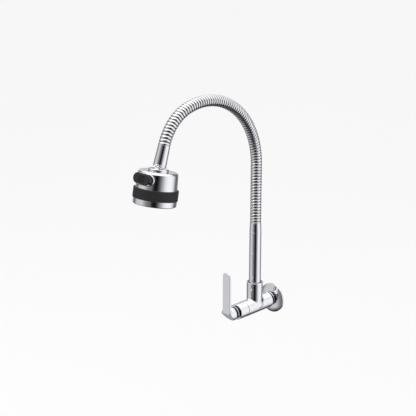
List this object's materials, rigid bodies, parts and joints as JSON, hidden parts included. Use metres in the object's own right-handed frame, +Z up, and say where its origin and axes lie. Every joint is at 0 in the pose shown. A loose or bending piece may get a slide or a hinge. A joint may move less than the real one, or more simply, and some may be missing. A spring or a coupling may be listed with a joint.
{
  "type": "wall tap with bendable spout",
  "caption": "Wall-mounted single tap with an upright quarter-turn lever, a swivelling riser, a bendable ringed gooseneck and a tilting two-mode spray head.",
  "frame": {"origin": "inlet axis where it crosses the wall plane, at the inlet_thread mount", "axes": "+Z up, +Y into the wall along the inlet thread, -Y out into the room towards the user, +X to the right of someone facing the wall"},
  "size_m": [0.065, 0.3079, 0.3824],
  "materials": {
    "chrome": "mirror chrome plate",
    "hose_metal": "bright chrome, ringed",
    "liner_rubber": "smooth dark liner",
    "brass": "machined brass",
    "spring_steel": "bright steel",
    "seal_rubber": "black nitrile",
    "grip_rubber": "matt charcoal rubber",
    "nozzle_rubber": "soft grey",
    "slip_plastic": "white low-friction plastic",
    "ceramic": "polished white ceramic",
    "moulded_plastic": "grey moulded plastic",
    "face_plastic": "grey gloss",
    "switch_plastic": "black satin gloss"
  },
  "bodies": {
    "base": {"wall_flange": "chrome", "inlet_nipple": "brass", "inlet_lock_ring": "chrome", "inlet_washer": "seal_rubber", "inlet_strainer": "spring_steel", "valve_body": "chrome", "riser_slip_ring": "slip_plastic", "bonnet_sleeve": "chrome", "cartridge_housing": "brass", "neck_ring": "chrome", "bonnet_o_ring": "seal_rubber", "seat_seal": "seal_rubber", "fixed_disc": "ceramic", "spindle_o_rings": "seal_rubber"},
    "handle": {"lever_handle": "chrome", "lever_grub_screw": "spring_steel", "spindle": "brass", "moving_disc": "ceramic"},
    "spout": {"riser_foot": "brass", "riser_o_rings": "seal_rubber", "riser_clip": "spring_steel", "riser_tube": "chrome", "lower_ferrule": "chrome", "hose_segment_1": "hose_metal", "flow_liner_1": "liner_rubber"},
    "gooseneck_2": {"hose_segment_2": "hose_metal", "flow_liner_2": "liner_rubber"},
    "gooseneck_3": {"hose_segment_3": "hose_metal", "flow_liner_3": "liner_rubber"},
    "gooseneck_4": {"hose_segment_4": "hose_metal", "flow_liner_4": "liner_rubber"},
    "gooseneck_5": {"hose_segment_5": "hose_metal", "flow_liner_5": "liner_rubber"},
    "gooseneck_6": {"hose_segment_6": "hose_metal", "flow_liner_6": "liner_rubber"},
    "gooseneck_7": {"hose_segment_7": "hose_metal", "flow_liner_7": "liner_rubber", "upper_neck": "chrome"},
    "ball": {"ball_nipple": "brass", "nipple_o_ring": "seal_rubber"},
    "head": {"socket_nut": "chrome", "ball_seat": "slip_plastic", "head_shell": "chrome", "grip_band": "grip_rubber", "bottom_ring": "chrome", "spray_plate": "face_plastic", "nozzle_mat": "nozzle_rubber", "aerator_insert": "moulded_plastic", "manifold": "moulded_plastic", "switch_bezel": "chrome", "switch_pin": "spring_steel"},
    "switch": {"switch_rocker": "switch_plastic"},
    "diverter": {"diverter_spool": "moulded_plastic", "spool_o_rings": "seal_rubber"}
  },
  "joints": [
    {"name": "lever_turn", "type": "hinge", "parent": "base", "child": "handle", "pos_m": [0, -0.0985, 0], "axis": [0, 1, 0], "range_deg": [0, 90]},
    {"name": "spout_swivel", "type": "hinge", "parent": "base", "child": "spout", "pos_m": [0, -0.045, 0.02], "axis": [0, 0, 1], "range_deg": [-90, 90]},
    {"name": "gooseneck_bend_1", "type": "hinge", "parent": "spout", "child": "gooseneck_2", "pos_m": [0, -0.045, 0.2335], "axis": [1, 0, 0], "range_deg": [-5, 5]},
    {"name": "gooseneck_bend_2", "type": "hinge", "parent": "gooseneck_2", "child": "gooseneck_3", "pos_m": [0, -0.05741, 0.28571], "axis": [1, 0, 0], "range_deg": [-5, 5]},
    {"name": "gooseneck_bend_3", "type": "hinge", "parent": "gooseneck_3", "child": "gooseneck_4", "pos_m": [0, -0.092, 0.32675], "axis": [1, 0, 0], "range_deg": [-5, 5]},
    {"name": "gooseneck_bend_4", "type": "hinge", "parent": "gooseneck_4", "child": "gooseneck_5", "pos_m": [0, -0.14136, 0.34782], "axis": [1, 0, 0], "range_deg": [-5, 5]},
    {"name": "gooseneck_bend_5", "type": "hinge", "parent": "gooseneck_5", "child": "gooseneck_6", "pos_m": [0, -0.19492, 0.34443], "axis": [1, 0, 0], "range_deg": [-5, 5]},
    {"name": "gooseneck_bend_6", "type": "hinge", "parent": "gooseneck_6", "child": "gooseneck_7", "pos_m": [0, -0.22422, 0.3271], "axis": [1, 0, 0], "range_deg": [-5, 5]},
    {"name": "head_swivel", "type": "hinge", "parent": "gooseneck_7", "child": "ball", "pos_m": [0, -0.25493, 0.26094], "axis": [0, 0.319, 0.9478], "range_deg": [-180, 180]},
    {"name": "head_tilt", "type": "hinge", "parent": "ball", "child": "head", "pos_m": [0, -0.25493, 0.26094], "axis": [1, 0, 0], "range_deg": [-20, 5]},
    {"name": "switch_rock", "type": "hinge", "parent": "head", "child": "switch", "pos_m": [0, -0.28217, 0.25664], "axis": [1, 0, 0], "range_deg": [0, 10]},
    {"name": "diverter_slide", "type": "slide", "parent": "head", "child": "diverter", "axis": [0, 0.1822, 0.9833], "range_m": [0, 0.00183]}
  ],
  "couplings": [
    {"joint": "gooseneck_bend_2", "follows": "gooseneck_bend_1", "ratio": 1},
    {"joint": "gooseneck_bend_3", "follows": "gooseneck_bend_1", "ratio": 1},
    {"joint": "gooseneck_bend_4", "follows": "gooseneck_bend_1", "ratio": 1},
    {"joint": "gooseneck_bend_5", "follows": "gooseneck_bend_1", "ratio": 1},
    {"joint": "gooseneck_bend_6", "follows": "gooseneck_bend_1", "ratio": 1},
    {"joint": "switch_rock", "follows": "diverter_slide", "rad_per_m": 95.238}
  ]
}
